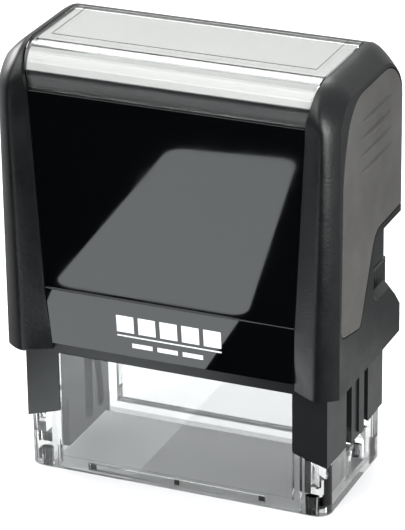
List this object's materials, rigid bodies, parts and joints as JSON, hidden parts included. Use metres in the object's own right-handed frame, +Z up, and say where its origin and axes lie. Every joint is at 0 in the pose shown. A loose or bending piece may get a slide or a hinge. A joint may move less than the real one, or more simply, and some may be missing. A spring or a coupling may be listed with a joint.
{
  "type": "self-inking stamp",
  "caption": "Self-inking office stamp: a sprung cap slides over a frame on a clear foot and turns an inked rectangular die over onto the paper.",
  "frame": {"origin": "centre of the bounding box's bottom face, on the plane the foot rests on", "axes": "+Z up, -Y towards the front with the gloss panel, +X to the right seen from the front"},
  "size_m": [0.0656, 0.036, 0.0845],
  "materials": {
    "frame_black": "satin",
    "clear_plastic": "polished",
    "rubber_black": "matte",
    "print_black": "matte",
    "tray_black": "satin",
    "pad_felt": "matte",
    "spring_steel": "satin",
    "cap_charcoal": "matte",
    "panel_gloss": "gloss",
    "print_white": "matte",
    "card_white": "matte",
    "grip_grey": "matte",
    "bail_black": "satin",
    "foam": "matte",
    "plate_rubber": "matte"
  },
  "bodies": {
    "base": {"base_frame": "frame_black", "clear_foot": "clear_plastic", "foot_pads": "rubber_black", "position_marks": "print_black", "ink_tray": "tray_black", "ink_pad": "pad_felt", "return_spring": "spring_steel"},
    "cap": {"cap_shell": "cap_charcoal", "front_panel": "panel_gloss", "front_print": "print_white", "index_window": "clear_plastic", "index_card": "card_white", "grip_left": "grip_grey", "grip_right": "grip_grey", "bail": "bail_black"},
    "die": {"die_carrier": "bail_black", "die_foam": "foam", "text_plate": "plate_rubber"},
    "lock_left": {"lock_button_left": "frame_black"},
    "lock_right": {"lock_button_right": "frame_black"}
  },
  "joints": [
    {"name": "press", "type": "slide", "parent": "base", "child": "cap", "axis": [0, 0, -1], "range_m": [0, 0.0235], "stiffness_N_per_m": 400, "springref_m": -0.0125, "deforming": ["return_spring"]},
    {"name": "flip", "type": "hinge", "parent": "cap", "child": "die", "pos_m": [0, 0, 0.029], "axis": [-1, 0, 0], "range_deg": [0, 180]},
    {"name": "lock_left", "type": "hinge", "parent": "base", "child": "lock_left", "pos_m": [-0.0293, 0.00135, 0.026], "axis": [0, -1, 0], "range_deg": [0, 2.4], "stiffness_Nm_per_rad": 0.15, "springref_deg": -1.15},
    {"name": "lock_right", "type": "hinge", "parent": "base", "child": "lock_right", "pos_m": [0.0293, 0.00135, 0.026], "axis": [0, 1, 0], "range_deg": [0, 2.4], "stiffness_Nm_per_rad": 0.15, "springref_deg": -1.15}
  ],
  "couplings": [
    {"joint": "flip", "follows": "press", "rad_per_m": 133.68}
  ]
}
